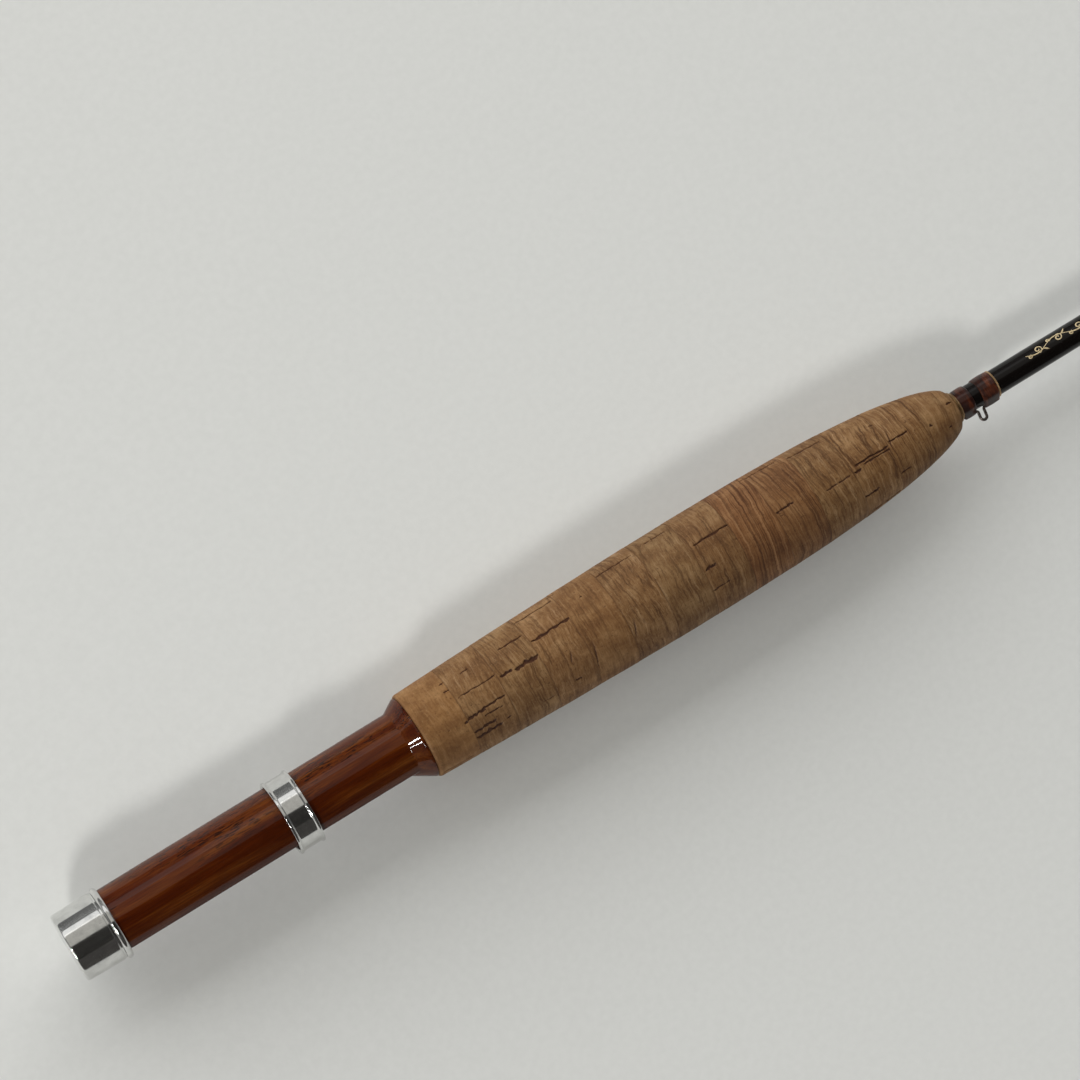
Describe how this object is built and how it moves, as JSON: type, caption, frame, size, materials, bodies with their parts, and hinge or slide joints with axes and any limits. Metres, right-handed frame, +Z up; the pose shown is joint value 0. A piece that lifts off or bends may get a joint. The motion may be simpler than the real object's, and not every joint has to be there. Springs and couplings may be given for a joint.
{
  "type": "fly rod",
  "caption": "Light two-section trout fly rod with a cork grip, wooden reel seat with butt cap and sliding band, hook keeper and wire line guides.",
  "frame": {"origin": "centre of the butt cap's flat end face, on the rod's axis", "axes": "+X along the rod's axis from the butt to the tip; +Z up as the rod lies on a surface; the line guides and the reel side point to -Y"},
  "size_m": [2.1359, 0.0296, 0.0278],
  "materials": {
    "polished_aluminium": "mirror polish",
    "seat_wood": "gloss varnish",
    "arbor": "raw",
    "cork": "sanded",
    "brass_check": "polished",
    "black_blank": "gloss",
    "raw_graphite": "sanded",
    "dark_wire": "smooth",
    "guide_wire": "polished",
    "ring_ceramic": "polished",
    "thread_brown": "varnished thread",
    "thread_gold": "varnished metallic thread"
  },
  "bodies": {
    "butt_section": {"butt_cap": "polished_aluminium", "seat_barrel": "seat_wood", "seat_arbors": "arbor", "cork_ring_01": "cork", "cork_ring_02": "cork", "cork_ring_03": "cork", "cork_ring_04": "cork", "cork_ring_05": "cork", "cork_ring_06": "cork", "cork_ring_07": "cork", "cork_ring_08": "cork", "cork_ring_09": "cork", "cork_ring_10": "cork", "cork_ring_11": "cork", "cork_ring_12": "cork", "cork_ring_13": "cork", "cork_ring_14": "cork", "winding_check": "brass_check", "butt_blank": "black_blank", "hook_keeper": "dark_wire", "keeper_wrap_rear": "thread_brown", "keeper_wrap_front": "thread_brown", "keeper_trims": "thread_gold", "clear_coat": "black_blank", "stripping_guide_frame": "guide_wire", "stripping_guide_ring": "ring_ceramic", "stripping_guide_wraps": "thread_brown", "butt_guide_trims": "thread_gold", "spigot": "raw_graphite", "butt_ferrule_wrap": "thread_brown", "butt_ferrule_trims": "thread_gold", "snake_guide_1": "guide_wire", "snake_wraps_1": "thread_brown"},
    "band": {"slide_band": "polished_aluminium"},
    "tip_section": {"snake_guide_2": "guide_wire", "snake_guide_3": "guide_wire", "snake_guide_4": "guide_wire", "snake_guide_5": "guide_wire", "snake_guide_6": "guide_wire", "snake_guide_7": "guide_wire", "snake_wraps_2": "thread_brown", "snake_wraps_3": "thread_brown", "snake_wraps_4": "thread_brown", "snake_wraps_5": "thread_brown", "snake_wraps_6": "thread_brown", "snake_wraps_7": "thread_brown", "tip_blank": "black_blank", "tip_ferrule_wrap": "thread_brown", "tip_ferrule_trims": "thread_gold", "tip_guide_trims": "thread_gold", "tip_top_tube": "guide_wire", "tip_top_loop": "guide_wire", "tip_top_wrap": "thread_brown", "tip_top_trim": "thread_gold"}
  },
  "joints": [
    {"name": "band_slide", "type": "slide", "parent": "butt_section", "child": "band", "axis": [1, 0, 0], "range_m": [-0.0485, 0.029]},
    {"name": "ferrule_pull", "type": "slide", "parent": "butt_section", "child": "tip_section", "axis": [1, 0, 0], "range_m": [0, 0.06]}
  ]
}
